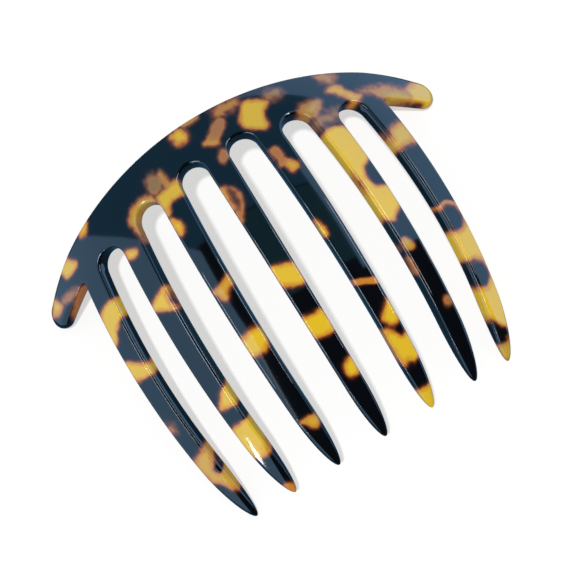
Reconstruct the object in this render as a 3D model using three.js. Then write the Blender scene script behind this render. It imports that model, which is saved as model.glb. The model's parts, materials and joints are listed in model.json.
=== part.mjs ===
// A decorative hair comb of tortoiseshell acetate: a domed sheet with seven tapering teeth and two horns.
//
// The comb is sawn from one flat sheet and pressed over a domed former, so every point of it is a place
// on that dome: an angle round the dome's axis, a level along the teeth and a height out of the sheet.
// Millimetres. X runs across the comb, the teeth point along -Y and +Z is the outside of the dome.
// Levels are measured along the teeth from the dome's widest ring, and grow towards the tips.
// The seven teeth bend by themselves in use, so each is a body of its own, freed from the back at its root.
import * as THREE from 'three'

// The sheet, and the dome it is pressed over, both to the middle of the sheet's thickness.
const SHEET_THICKNESS = 4
const DOME_RADIUS = 77.3
const TOOTH_ARC_RADIUS = 119

// The teeth, which are numbered from the left.
const TEETH_EACH_SIDE = 3
const TOOTH_PITCH = 15.5
const ROOT_WIDTH = 6.6
const NECK_WIDTH = 5.2
const TIP_LEVEL = 47.8
const TIP_LENGTH = 16.6
const TIP_THINNING = 0.3

// How far each tip has set sideways from an even fan, from left to right.
const TIP_OFFSETS = [-0.5, -0.5, -0.3, 0, 0.3, 0.4, -1.4]

// The back. The slots' rounded ends step down from the centre pair to the outer pair.
const CENTRE_SLOT_LEVEL = -34.2
const SLOT_DROPS = [0, 2.6, 7]
const BACK_HEIGHT = 15
const EDGE_RADIUS = 0.8

// The horns, which run on past the outer teeth, and the notch between each and its tooth.
const HORN_REACH = 17.9
const HORN_DROP = 23.7
const HORN_RADIUS = 3.9
const NOTCH_DROP = 20.8
const NOTCH_RADIUS = 1

// The stub of each tooth that stays on the back, and the gap that frees the tooth from it.
const ROOT_STUB = 0.5
const ROOT_GAP = 0.3

// How finely the curves are faceted.
const CORNER_STEPS = 2
const SLOT_STEPS = 8
const NOTCH_STEPS = 3
const HORN_SIDE_STEPS = 2
const HORN_EDGE_STEPS = 3
const BACK_ROWS = 4
const SHANK_STATIONS = 14
const TIP_STATIONS = 7
const LEVELLING_STEPS = 40
const MOST_TILT = Math.PI / 6

const SHELL_COLOUR = '#3b2a1c'
const QUARTER = Math.PI / 2

// ---- The dome -------------------------------------------------------------------------------------

// The distance from the dome's axis at a level.
function ringRadius(level, out = 0) {
  const lean = level / TOOTH_ARC_RADIUS
  return DOME_RADIUS - TOOTH_ARC_RADIUS * (1 - Math.cos(lean)) + out * Math.cos(lean)
}

// A place on the dome. The dome's axis is the Y axis here, and angle 0 is straight up.
function onDome(angle, level, out) {
  const radius = ringRadius(level, out)
  const along = -(TOOTH_ARC_RADIUS + out) * Math.sin(level / TOOTH_ARC_RADIUS)
  return new THREE.Vector3(radius * Math.sin(angle), along, radius * Math.cos(angle))
}

// ---- Sizes that follow from the driving ones ------------------------------------------------------

const HALF_SHEET = SHEET_THICKNESS / 2
const SHANK_END = TIP_LEVEL - TIP_LENGTH
const BACK_TOP = CENTRE_SLOT_LEVEL - BACK_HEIGHT
const OUTER_TOOTH = TEETH_EACH_SIDE * TOOTH_PITCH

function toothWidth(level) {
  const share = (level - CENTRE_SLOT_LEVEL) / (SHANK_END - CENTRE_SLOT_LEVEL)
  return THREE.MathUtils.lerp(ROOT_WIDTH, NECK_WIDTH, THREE.MathUtils.clamp(share, 0, 1))
}

// Half a tooth's width at a level, stretched as it is on the flat sheet, where the slots are laid out.
function flatHalfWidth(level) {
  return ((toothWidth(level) / 2) * DOME_RADIUS) / ringRadius(level)
}

// The rounded end of the slot at a place between two teeth. Half places are slots, whole ones are teeth.
function slotEnd(place) {
  const level = CENTRE_SLOT_LEVEL + SLOT_DROPS[Math.abs(place) - 0.5]
  const halfWidth = TOOTH_PITCH / 2 - flatHalfWidth(level)
  const height = (halfWidth * ringRadius(level)) / DOME_RADIUS
  return { across: place * TOOTH_PITCH, level, halfWidth, height }
}

// ---- The right horn on the flat sheet -------------------------------------------------------------

const horn = new THREE.Vector2(OUTER_TOOTH + HORN_REACH, BACK_TOP + HORN_DROP)

// The crown is one arc through the top of the back that runs smoothly into both horns' rounded ends.
const CROWN_RADIUS = (horn.x ** 2 + HORN_DROP ** 2 - HORN_RADIUS ** 2) / (2 * (HORN_DROP - HORN_RADIUS))
const CROWN_CENTRE = BACK_TOP + CROWN_RADIUS
const CROWN_REACH = Math.atan2(horn.x, CROWN_CENTRE - horn.y)

// The horn's straight underside touches its rounded end and runs in to the notch beside the outer tooth.
const NOTCH_LEVEL = BACK_TOP + NOTCH_DROP
const notch = new THREE.Vector2(OUTER_TOOTH + flatHalfWidth(NOTCH_LEVEL), NOTCH_LEVEL)
const hornFromNotch = horn.clone().sub(notch)
const UNDERSIDE_SLOPE = hornFromNotch.angle() + Math.asin(HORN_RADIUS / hornFromNotch.length())
const underside = new THREE.Vector2(1, 0).rotateAround(new THREE.Vector2(), UNDERSIDE_SLOPE)
const intoUnderside = new THREE.Vector2(underside.y, -underside.x)
const undersideEnd = horn.clone().addScaledVector(intoUnderside, -HORN_RADIUS)
const NOTCH_OPENING = QUARTER - UNDERSIDE_SLOPE
const filletStart = notch.clone().addScaledVector(underside, NOTCH_RADIUS / Math.tan(NOTCH_OPENING / 2))
const filletCentre = filletStart.clone().addScaledVector(intoUnderside, -NOTCH_RADIUS)

// Each tooth's root lies just below the slot ends, or the notch, on either side of it.
function rootLevel(tooth) {
  const place = Math.abs(tooth)
  const inner = place > 0 ? slotEnd(place - 0.5).level : CENTRE_SLOT_LEVEL
  const outer = place < TEETH_EACH_SIDE ? slotEnd(place + 0.5).level : filletCentre.y
  return Math.max(inner, outer) + ROOT_STUB
}

// ---- Closed skins ---------------------------------------------------------------------------------

class Skin {
  constructor() {
    this.places = []
    this.faces = []
  }

  add(point) {
    return this.places.push(point.x, point.y, point.z) / 3 - 1
  }

  quad(a, b, c, d) {
    this.faces.push(a, b, c, a, c, d)
  }

  // Quads between two closed rings of corners, the first of which lies behind the second.
  band(ring, next) {
    ring.forEach((corner, i) => {
      const after = (i + 1) % ring.length
      this.quad(corner, ring[after], next[after], next[i])
    })
  }

  // A flat end on the ring that lies behind all the others.
  endBehind(ring) {
    for (let i = 1; i < ring.length - 1; i++) this.faces.push(ring[0], ring[i + 1], ring[i])
  }

  // A point in front of the last ring.
  endInPoint(ring, tip) {
    ring.forEach((corner, i) => this.faces.push(corner, ring[(i + 1) % ring.length], tip))
  }

  geometry() {
    const geometry = new THREE.BufferGeometry()
    geometry.setAttribute('position', new THREE.Float32BufferAttribute(this.places, 3))
    geometry.setIndex(this.faces)
    geometry.computeVertexNormals()
    return geometry
  }
}

// ---- The back -------------------------------------------------------------------------------------

// The outline's points on the flat sheet, each with the way into the sheet from it. A point of the lower
// edge also has the place on the crown that it is joined to.
function outlinePoint(across, level, into, crownAcross) {
  return { across, level, into, crownAcross }
}

function mirrored({ across, level, into, crownAcross }) {
  return outlinePoint(-across, level, new THREE.Vector2(-into.x, into.y), -crownAcross)
}

function crownPoint(across) {
  const turn = Math.asin(across / CROWN_RADIUS)
  const outward = new THREE.Vector2(Math.sin(turn), -Math.cos(turn))
  return outlinePoint(across, CROWN_CENTRE + CROWN_RADIUS * outward.y, outward.negate())
}

// The right horn's rounded end, in even steps from the crown round to the underside.
function hornEnd() {
  const steps = 2 * HORN_SIDE_STEPS + BACK_ROWS
  return Array.from({ length: steps + 1 }, (_, i) => {
    const turn = THREE.MathUtils.lerp(CROWN_REACH, Math.PI + UNDERSIDE_SLOPE, i / steps)
    const outward = new THREE.Vector2(Math.sin(turn), -Math.cos(turn))
    const point = horn.clone().addScaledVector(outward, HORN_RADIUS)
    return outlinePoint(point.x, point.y, outward.negate())
  })
}

// The right horn's underside, from its rounded end to the foot of the rounded notch.
function hornUnderside() {
  const points = []
  for (let i = 1; i < HORN_EDGE_STEPS; i++) {
    const point = undersideEnd.clone().lerp(filletStart, i / HORN_EDGE_STEPS)
    points.push(outlinePoint(point.x, point.y, intoUnderside))
  }
  for (let i = 0; i <= NOTCH_STEPS; i++) {
    const turn = THREE.MathUtils.lerp(UNDERSIDE_SLOPE - QUARTER, -Math.PI, i / NOTCH_STEPS)
    const away = new THREE.Vector2(Math.cos(turn), Math.sin(turn))
    const point = filletCentre.clone().addScaledVector(away, NOTCH_RADIUS)
    points.push(outlinePoint(point.x, point.y, away))
  }
  const crownEnd = CROWN_RADIUS * Math.sin(CROWN_REACH)
  points.forEach((point, i) => {
    point.crownAcross = THREE.MathUtils.lerp(crownEnd, notch.x, (i + 1) / points.length)
  })
  return points
}

// The two corners of a tooth's root. Above them the sheet narrows to a flat facet on each face.
function rootCorners(tooth) {
  const level = rootLevel(tooth)
  const halfWidth = flatHalfWidth(level)
  const facetShare = 0.6
  return [-1, 1].map((side) => {
    const across = tooth * TOOTH_PITCH + side * halfWidth
    const crownAcross = tooth * TOOTH_PITCH + side * facetShare * halfWidth
    return outlinePoint(across, level, new THREE.Vector2(-side, 0), crownAcross)
  })
}

function slotTop(place) {
  const slot = slotEnd(place)
  return Array.from({ length: SLOT_STEPS + 1 }, (_, i) => {
    const turn = Math.PI * (1 - i / SLOT_STEPS)
    const away = new THREE.Vector2(Math.cos(turn), -Math.sin(turn))
    const crownAcross = slot.across + slot.halfWidth * ((2 * i) / SLOT_STEPS - 1)
    const across = slot.across + slot.halfWidth * away.x
    return outlinePoint(across, slot.level + slot.height * away.y, away, crownAcross)
  })
}

// The sheet's rounded edge, from the inner face to the outer one: how far in and how far out it lies.
function edgeRounding() {
  const inner = Array.from({ length: CORNER_STEPS + 1 }, (_, i) => {
    const turn = (QUARTER * i) / CORNER_STEPS
    return {
      inset: EDGE_RADIUS * (1 - Math.sin(turn)),
      out: EDGE_RADIUS * (1 - Math.cos(turn)) - HALF_SHEET,
    }
  })
  return [...inner, ...inner.map(({ inset, out }) => ({ inset, out: -out })).reverse()]
}

// The back is laid out in columns from left to right, each from the lower edge up to the crown.
function backGeometry() {
  const end = hornEnd()
  const endBelow = end.slice(HORN_SIDE_STEPS + BACK_ROWS)
  const endAbove = end.slice(0, HORN_SIDE_STEPS + 1).reverse()
  const endRows = end.slice(HORN_SIDE_STEPS + 1, HORN_SIDE_STEPS + BACK_ROWS)
  const halfBelow = [...endBelow, ...hornUnderside()]
  const lower = halfBelow.map(mirrored)
  for (let tooth = -TEETH_EACH_SIDE; tooth <= TEETH_EACH_SIDE; tooth++) {
    lower.push(...rootCorners(tooth))
    if (tooth < TEETH_EACH_SIDE) lower.push(...slotTop(tooth + 0.5))
  }
  lower.push(...halfBelow.reverse())
  const last = lower.length - 1
  const upper = lower.map((point, column) => {
    if (column < endAbove.length) return mirrored(endAbove[column])
    if (last - column < endAbove.length) return endAbove[last - column]
    return crownPoint(point.crownAcross)
  })

  const skin = new Skin()
  const place = (across, level, out) => skin.add(onDome(across / DOME_RADIUS, level, out))
  const outline = [...lower, ...endRows.toReversed(), ...upper.toReversed(), ...endRows.map(mirrored)]
  const rings = edgeRounding().map(({ inset, out }) =>
    outline.map(({ across, level, into }) => place(across + inset * into.x, level + inset * into.y, out)),
  )
  for (let i = 1; i < rings.length; i++) skin.band(rings[i - 1], rings[i])

  // One face of the sheet, as a grid of corners that starts and ends on the rounded edge's last ring.
  const faceGrid = (ring, out) =>
    lower.map((below, column) => {
      const above = upper[column]
      return Array.from({ length: BACK_ROWS + 1 }, (_, row) => {
        if (row === 0) return ring[column]
        if (row === BACK_ROWS) return ring[ring.length - BACK_ROWS - column]
        if (column === last) return ring[last + row]
        if (column === 0) return ring[ring.length - row]
        const share = row / BACK_ROWS
        const across = THREE.MathUtils.lerp(
          below.across + EDGE_RADIUS * below.into.x,
          above.across + EDGE_RADIUS * above.into.x,
          share,
        )
        const level = THREE.MathUtils.lerp(
          below.level + EDGE_RADIUS * below.into.y,
          above.level + EDGE_RADIUS * above.into.y,
          share,
        )
        return place(across, level, out)
      })
    })
  const outer = faceGrid(rings.at(-1), HALF_SHEET)
  const inner = faceGrid(rings[0], -HALF_SHEET)
  for (let column = 0; column < last; column++) {
    for (let row = 0; row < BACK_ROWS; row++) {
      const across = column + 1
      const up = row + 1
      skin.quad(outer[column][row], outer[across][row], outer[across][up], outer[column][up])
      skin.quad(inner[column][up], inner[across][up], inner[across][row], inner[column][row])
    }
  }
  return skin.geometry()
}

// ---- The teeth ------------------------------------------------------------------------------------

// A tooth's width, thickness and corner rounding at a level. The tip narrows as an ellipse does.
function toothSection(level) {
  const taper = Math.max((level - SHANK_END) / TIP_LENGTH, 0)
  const width = toothWidth(level) * Math.sqrt(1 - taper ** 2)
  const thickness = SHEET_THICKNESS * (1 - TIP_THINNING * taper ** 2) * Math.sqrt(1 - taper ** 6)
  const fullRounding = Math.min(width, thickness) / 2
  return { width, thickness, rounding: THREE.MathUtils.lerp(EDGE_RADIUS, fullRounding, taper) }
}

// A rounded rectangle's corners, anticlockwise, as distances across and out.
function roundedRectangle({ width, thickness, rounding }) {
  const corners = []
  for (let quarter = 0; quarter < 4; quarter++) {
    const right = quarter === 0 || quarter === 3 ? 1 : -1
    const up = quarter < 2 ? 1 : -1
    for (let i = 0; i <= CORNER_STEPS; i++) {
      const turn = QUARTER * (quarter + i / CORNER_STEPS)
      const across = right * (width / 2 - rounding) + rounding * Math.cos(turn)
      const out = up * (thickness / 2 - rounding) + rounding * Math.sin(turn)
      corners.push({ across, out })
    }
  }
  return corners
}

// Levels along a tooth: even down the shank, then closer and closer round the tip.
function toothLevels(top) {
  const shank = Array.from({ length: SHANK_STATIONS }, (_, i) =>
    THREE.MathUtils.lerp(top, SHANK_END, i / SHANK_STATIONS),
  )
  const tip = Array.from({ length: TIP_STATIONS }, (_, i) =>
    SHANK_END + TIP_LENGTH * Math.sin((QUARTER * i) / TIP_STATIONS),
  )
  return [...shank, ...tip]
}

function toothGeometry(top, tipOffset, pivot) {
  const skin = new Skin()
  const place = (across, level, out) => {
    const drift = tipOffset * ((level - top) / (TIP_LEVEL - top)) ** 2
    return skin.add(onDome((across + drift) / ringRadius(level), level, out).sub(pivot))
  }
  const rings = toothLevels(top).map((level) =>
    roundedRectangle(toothSection(level)).map(({ across, out }) => place(across, level, out)),
  )
  skin.endBehind(rings[0])
  for (let i = 1; i < rings.length; i++) skin.band(rings[i - 1], rings[i])
  skin.endInPoint(rings.at(-1), place(0, TIP_LEVEL, 0))
  return skin.geometry()
}

// ---- The comb -------------------------------------------------------------------------------------

function shell(name, geometry) {
  const acetate = new THREE.MeshStandardMaterial({ color: SHELL_COLOUR, roughness: 0.12, metalness: 0 })
  const mesh = new THREE.Mesh(geometry, acetate)
  mesh.name = name
  return mesh
}

// A tooth hangs on a spoke turned about the dome's axis. Its own origin is the hinge at its root.
function makeTooth(tooth) {
  const root = rootLevel(tooth)
  const pivot = onDome(0, root + ROOT_GAP / 2, 0)
  const index = tooth + TEETH_EACH_SIDE
  const mesh = shell(`tooth_${index + 1}`, toothGeometry(root + ROOT_GAP, TIP_OFFSETS[index], pivot))
  mesh.position.copy(pivot)
  const spoke = new THREE.Group()
  spoke.rotation.y = (tooth * TOOTH_PITCH) / DOME_RADIUS
  spoke.add(mesh)
  return spoke
}

function boxOf(...objects) {
  const box = new THREE.Box3()
  objects.forEach((object) => box.union(new THREE.Box3().setFromObject(object, true)))
  return box
}

// Laid down, the comb tips over until its horns and the tips of its teeth touch the table together.
function layDown(comb, back, spokes) {
  let least = -MOST_TILT
  let most = MOST_TILT
  for (let step = 0; step < LEVELLING_STEPS; step++) {
    comb.rotation.x = (least + most) / 2
    comb.updateMatrixWorld(true)
    if (boxOf(...spokes).min.z > boxOf(back).min.z) least = comb.rotation.x
    else most = comb.rotation.x
  }
  const box = boxOf(back, ...spokes)
  const centre = box.getCenter(new THREE.Vector3())
  comb.position.set(-centre.x, -centre.y, -box.min.z)
  comb.updateMatrixWorld(true)
}

const comb = new THREE.Group()
const back = shell('back', backGeometry())
const spokes = TIP_OFFSETS.map((_, index) => makeTooth(index - TEETH_EACH_SIDE))
comb.add(back, ...spokes)
layDown(comb, back, spokes)

export default comb
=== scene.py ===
# %% [markdown]
# # A tortoiseshell hair comb
# The real comb is one sheet of acetate, 4 mm thick: it is sawn flat, polished, and then pressed warm over a
# domed former. It could be modelled straight in its domed shape, but every edge would then be a curve in
# space. So this lesson follows the maker: the sheet is drawn flat, thickened, coloured and only then bent.

# %% Load the frame
import bpy
import json
import math
import numpy as np
from mathutils import Matrix, Vector


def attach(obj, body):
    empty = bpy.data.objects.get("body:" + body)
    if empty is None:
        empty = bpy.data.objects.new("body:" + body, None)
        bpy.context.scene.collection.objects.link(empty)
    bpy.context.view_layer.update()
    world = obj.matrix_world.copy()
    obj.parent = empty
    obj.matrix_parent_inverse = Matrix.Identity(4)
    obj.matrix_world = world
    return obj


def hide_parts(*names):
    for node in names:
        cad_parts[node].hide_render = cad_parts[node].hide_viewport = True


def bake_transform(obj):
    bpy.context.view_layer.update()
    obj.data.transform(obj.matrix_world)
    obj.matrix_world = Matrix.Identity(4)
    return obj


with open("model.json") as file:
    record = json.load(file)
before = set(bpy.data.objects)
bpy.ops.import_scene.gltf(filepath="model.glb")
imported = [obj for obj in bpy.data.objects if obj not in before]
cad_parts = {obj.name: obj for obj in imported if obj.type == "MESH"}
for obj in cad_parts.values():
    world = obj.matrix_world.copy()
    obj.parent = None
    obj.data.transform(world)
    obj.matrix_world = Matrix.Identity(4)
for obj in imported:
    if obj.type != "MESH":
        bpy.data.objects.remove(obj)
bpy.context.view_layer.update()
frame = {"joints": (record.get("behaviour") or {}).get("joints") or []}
MM = 0.001

# %% [markdown]
# ## The sizes
# A comb maker works from a few sizes: the sheet, the dome, the teeth and the horns. They are millimetres
# here, the same ones the solid model is built from. Levels are measured along the teeth, from the dome's
# widest ring towards the tips, and "across" is measured round the dome.

# %% The comb's own sizes
SHEET_THICKNESS = 4
HALF_SHEET = SHEET_THICKNESS / 2
DOME_RADIUS = 77.3
TOOTH_ARC_RADIUS = 119
TEETH_EACH_SIDE = 3
TOOTH_PITCH = 15.5
ROOT_WIDTH = 6.6
NECK_WIDTH = 5.2
TIP_LEVEL = 47.8
TIP_LENGTH = 16.6
TIP_THINNING = 0.3
TIP_OFFSETS = [-0.5, -0.5, -0.3, 0, 0.3, 0.4, -1.4]
CENTRE_SLOT_LEVEL = -34.2
SLOT_DROPS = [0, 2.6, 7]
BACK_HEIGHT = 15
EDGE_RADIUS = 0.8
HORN_REACH = 17.9
HORN_DROP = 23.7
HORN_RADIUS = 3.9
NOTCH_DROP = 20.8
NOTCH_RADIUS = 1
ROOT_STUB = 0.5
ROOT_GAP = 0.3
SHANK_END = TIP_LEVEL - TIP_LENGTH
BACK_TOP = CENTRE_SLOT_LEVEL - BACK_HEIGHT
OUTER_TOOTH = TEETH_EACH_SIDE * TOOTH_PITCH
TEETH = range(-TEETH_EACH_SIDE, TEETH_EACH_SIDE + 1)
print("teeth:", len(TEETH), "from level", CENTRE_SLOT_LEVEL, "to", TIP_LEVEL)

# %% [markdown]
# ## The dome
# The former is barrel shaped: tight round the head and slower along the teeth. One function turns a place on
# the flat sheet into a place on the dome, so flat things can be bent at the very end. The teeth's hinges in
# the frame say how the finished comb lies: how far it is tipped, and where its dome's axis is.

# %% From the flat sheet to the dome
def lerp(start, end, share):
    return start + (end - start) * share


def ring_radius(level, out=0.0):
    lean = level / TOOTH_ARC_RADIUS
    return DOME_RADIUS - TOOTH_ARC_RADIUS * (1 - np.cos(lean)) + out * np.cos(lean)


def on_dome(across, level, out):
    radius = ring_radius(level, out)
    angle = across / DOME_RADIUS
    along = -(TOOTH_ARC_RADIUS + out) * np.sin(level / TOOTH_ARC_RADIUS)
    return np.stack([radius * np.sin(angle), along, radius * np.cos(angle)], axis=-1)


def tooth_width(level):
    share = (level - CENTRE_SLOT_LEVEL) / (SHANK_END - CENTRE_SLOT_LEVEL)
    return lerp(ROOT_WIDTH, NECK_WIDTH, np.clip(share, 0, 1))


def flat_half_width(level):
    return tooth_width(level) / 2 * DOME_RADIUS / ring_radius(level)


def slot_end(place):
    level = CENTRE_SLOT_LEVEL + SLOT_DROPS[int(abs(place) - 0.5)]
    half_width = TOOTH_PITCH / 2 - flat_half_width(level)
    return place * TOOTH_PITCH, level, half_width, half_width * ring_radius(level) / DOME_RADIUS


print("dome radius at the tips:", round(float(ring_radius(TIP_LEVEL)), 2), "mm")

# %% [markdown]
# ## The outline of the back
# The crown is one long arc that runs smoothly into each horn's round end. Under the horns a straight edge
# runs in to a small round notch, and between the teeth the slots end in half circles. The outline could be
# drawn as a curve and filled, but a filled curve has long thin triangles that bend badly. Instead the back is
# a grid, and each of its columns runs from a point of the lower edge up to a point of the crown.

# %% The right horn
horn = np.array([OUTER_TOOTH + HORN_REACH, BACK_TOP + HORN_DROP])
CROWN_RADIUS = (horn[0] ** 2 + HORN_DROP ** 2 - HORN_RADIUS ** 2) / (2 * (HORN_DROP - HORN_RADIUS))
CROWN_CENTRE = BACK_TOP + CROWN_RADIUS
CROWN_REACH = math.atan2(horn[0], CROWN_CENTRE - horn[1])
NOTCH_LEVEL = BACK_TOP + NOTCH_DROP
notch = np.array([OUTER_TOOTH + flat_half_width(NOTCH_LEVEL), NOTCH_LEVEL])
horn_from_notch = horn - notch
UNDERSIDE_SLOPE = math.atan2(horn_from_notch[1], horn_from_notch[0]) + math.asin(
    HORN_RADIUS / np.linalg.norm(horn_from_notch)
)
underside = np.array([math.cos(UNDERSIDE_SLOPE), math.sin(UNDERSIDE_SLOPE)])
into_underside = np.array([underside[1], -underside[0]])
underside_end = horn - into_underside * HORN_RADIUS
NOTCH_OPENING = math.pi / 2 - UNDERSIDE_SLOPE
fillet_start = notch + underside * NOTCH_RADIUS / math.tan(NOTCH_OPENING / 2)
fillet_centre = fillet_start - into_underside * NOTCH_RADIUS
print("crown radius:", round(float(CROWN_RADIUS), 1), "mm")


def root_level(tooth):
    place = abs(tooth)
    inner = slot_end(place - 0.5)[1] if place > 0 else CENTRE_SLOT_LEVEL
    outer = slot_end(place + 0.5)[1] if place < TEETH_EACH_SIDE else fillet_centre[1]
    return float(max(inner, outer) + ROOT_STUB)


ROOTS = {tooth: root_level(tooth) for tooth in TEETH}
print("roots at levels", {tooth: round(level, 1) for tooth, level in ROOTS.items()})

# %% [markdown]
# Each point of the lower edge carries four facts: where it is, which way leads into the sheet, the place on
# the crown that its column runs up to, and whether it is on a tooth's root. The left half mirrors the right.

# %% The points of the lower edge
BACK_ROWS = 30
HORN_SIDE_STEPS = 8
HORN_EDGE_STEPS = 34
NOTCH_STEPS = 8
SLOT_STEPS = 28
ROOT_COLUMNS = 14
SIDE_STEP = 0.5
CROWN_SHARE = 0.6
RIM_MARGIN = 0.1
INSET = EDGE_RADIUS + RIM_MARGIN
ON_LINE = 0.01


def edge_point(place, into, crown_across=0.0, on_root=False):
    return [place[0], place[1], into[0], into[1], crown_across, on_root]


def mirrored(point):
    across, level, into_across, into_level, crown_across, on_root = point
    return [-across, level, -into_across, into_level, -crown_across, on_root]


def crown_point(across):
    turn = math.asin(across / CROWN_RADIUS)
    place = (across, CROWN_CENTRE - CROWN_RADIUS * math.cos(turn))
    return edge_point(place, (-math.sin(turn), math.cos(turn)))


def horn_end_points():
    points = []
    steps = 2 * HORN_SIDE_STEPS + BACK_ROWS
    for i in range(steps + 1):
        turn = lerp(CROWN_REACH, math.pi + UNDERSIDE_SLOPE, i / steps)
        outward = np.array([math.sin(turn), -math.cos(turn)])
        points.append(edge_point(horn + outward * HORN_RADIUS, -outward))
    return points


def underside_points():
    points = []
    for i in range(1, HORN_EDGE_STEPS):
        points.append(edge_point(lerp(underside_end, fillet_start, i / HORN_EDGE_STEPS), into_underside))
    for i in range(NOTCH_STEPS + 1):
        turn = lerp(UNDERSIDE_SLOPE - math.pi / 2, -math.pi, i / NOTCH_STEPS)
        away = np.array([math.cos(turn), math.sin(turn)])
        points.append(edge_point(fillet_centre + away * NOTCH_RADIUS, away))
    crown_end = CROWN_RADIUS * math.sin(CROWN_REACH)
    for i, point in enumerate(points):
        point[4] = lerp(crown_end, notch[0], (i + 1) / len(points))
    return points


def tooth_side_points(tooth, side, level_below, level_above):
    """Points up one side of a tooth's stub, from its root to the slot beside it."""
    steps = max(int((level_below - level_above) / SIDE_STEP), 1)
    points = []
    for i in range(1, steps):
        level = lerp(level_below, level_above, i / steps)
        half_width = flat_half_width(level)
        crown = tooth * TOOTH_PITCH + side * lerp(CROWN_SHARE, 1, i / steps) * half_width
        points.append(edge_point((tooth * TOOTH_PITCH + side * half_width, level), (-side, 0), crown))
    return points


def root_points(tooth):
    level = ROOTS[tooth]
    half_width = flat_half_width(level)
    points = []
    for i in range(ROOT_COLUMNS + 1):
        side = 2 * i / ROOT_COLUMNS - 1
        crown = tooth * TOOTH_PITCH + side * CROWN_SHARE * half_width
        across = tooth * TOOTH_PITCH + side * half_width
        points.append(edge_point((across, level), (-side, 0), crown, True))
    return points


def slot_points(place):
    across, level, half_width, height = slot_end(place)
    points = []
    for i in range(SLOT_STEPS + 1):
        turn = math.pi * (1 - i / SLOT_STEPS)
        away = (math.cos(turn), -math.sin(turn))
        crown = across + half_width * (2 * i / SLOT_STEPS - 1)
        points.append(edge_point((across + half_width * away[0], level + height * away[1]), away, crown))
    return points


horn_end = horn_end_points()
end_below = horn_end[HORN_SIDE_STEPS + BACK_ROWS:]
end_above = horn_end[:HORN_SIDE_STEPS + 1][::-1]
end_rows = horn_end[HORN_SIDE_STEPS:HORN_SIDE_STEPS + BACK_ROWS + 1][::-1]
half_below = end_below + underside_points()
lower = [mirrored(point) for point in half_below]
for tooth in TEETH:
    if tooth > -TEETH_EACH_SIDE:
        slot_level = slot_end(tooth - 0.5)[1]
        lower += tooth_side_points(tooth, -1, ROOTS[tooth], slot_level)[::-1]
    lower += root_points(tooth)
    if tooth < TEETH_EACH_SIDE:
        slot_level = slot_end(tooth + 0.5)[1]
        lower += tooth_side_points(tooth, 1, ROOTS[tooth], slot_level)
        lower += slot_points(tooth + 0.5)
lower += half_below[::-1]
upper = [crown_point(point[4]) for point in lower]
upper[:len(end_above)] = [mirrored(point) for point in end_above]
upper[-len(end_above):] = end_above[::-1]
COLUMNS = len(lower) - 1
print("columns across the back:", COLUMNS)

# %% [markdown]
# ## The flat back
# The grid primitive is added with the right number of faces, and its vertices are laid out between the lower
# edge and the crown. It stops a little short of the true outline all round, because the rounded edge is
# drawn outwards from it next. Each vertex of its rim remembers the way outwards.

# %% Lay out the grid
bpy.ops.object.select_all(action="DESELECT")
bpy.ops.mesh.primitive_grid_add(x_subdivisions=COLUMNS, y_subdivisions=BACK_ROWS, size=1)
comb = bpy.context.object
comb.name = "comb_blank"
mesh = comb.data


def read_points(data):
    points = np.zeros(len(data.vertices) * 3)
    data.vertices.foreach_get("co", points)
    return points.reshape(-1, 3)


def write_points(data, points):
    data.vertices.foreach_set("co", points.astype(np.float32).ravel())
    data.update()


def inset_place(point):
    return np.array(point[:2]) + INSET * np.array(point[2:4])


def root_inset_place(point, tooth):
    """A root's points are spread between the two inset corners of the tooth."""
    half_width = flat_half_width(ROOTS[tooth])
    share = (point[0] - tooth * TOOTH_PITCH) / half_width
    return np.array([tooth * TOOTH_PITCH + share * (half_width - INSET), point[1]])


def nearest_tooth(across):
    tooth = np.rint(np.asarray(across) / TOOTH_PITCH)
    return np.clip(tooth, -TEETH_EACH_SIDE, TEETH_EACH_SIDE).astype(int)


points = read_points(mesh)
column = np.rint((points[:, 0] + 0.5) * COLUMNS).astype(int)
row = np.rint((points[:, 1] + 0.5) * BACK_ROWS).astype(int)
below = np.array([
    root_inset_place(p, int(nearest_tooth(p[0]))) if p[5] else inset_place(p) for p in lower
])
above = np.array([inset_place(p) for p in upper])
ends = np.array([inset_place(p) for p in end_rows])
share = row / BACK_ROWS
flat = lerp(below[column], above[column], share[:, None])

# The ends of the grid bulge to the round ends of the horns, and the bulge dies away over a few columns.
chord = lerp(ends[0], ends[-1], (np.arange(BACK_ROWS + 1) / BACK_ROWS)[:, None])
bulge = (ends - chord)[row]
from_end = np.minimum(column, COLUMNS - column)
fade = np.clip(1 - from_end / (3 * HORN_SIDE_STEPS), 0, 1) ** 2
flat[:, 0] += np.where(column < COLUMNS / 2, -1, 1) * bulge[:, 0] * fade
flat[:, 1] += bulge[:, 1] * fade
write_points(mesh, np.column_stack([flat[:, 0], -flat[:, 1], np.zeros(len(flat))]) * MM)

outward = np.zeros((len(flat), 3))
for index in np.flatnonzero((row == 0) | (row == BACK_ROWS) | (column == 0) | (column == COLUMNS)):
    if row[index] == 0:
        point = lower[column[index]]
    elif row[index] == BACK_ROWS:
        point = upper[column[index]]
    elif column[index] == COLUMNS:
        point = end_rows[row[index]]
    else:
        point = mirrored(end_rows[row[index]])
    outward[index] = (-point[2], point[3], 0)
mesh.attributes.new("outward", "FLOAT_VECTOR", "POINT").data.foreach_set("vector", outward.ravel())
inset = np.full(len(flat), float(INSET))
mesh.attributes.new("inset", "FLOAT", "POINT").data.foreach_set("value", inset)
print("grid of", len(mesh.vertices), "vertices")

# %% [markdown]
# ## The rounded edge
# Tumbling rounds every edge of a real comb to a radius of about 0.8 mm. A Bevel modifier could do it once the
# sheet is solid, but at the notches and the tips its corners would run into each other. Here the rim is
# extruded outwards in narrow strips instead, closer and closer together, and the thickness follows the
# strips later.

# %% Extrude the rim outwards
EDGE_STRIPS = 6


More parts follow.
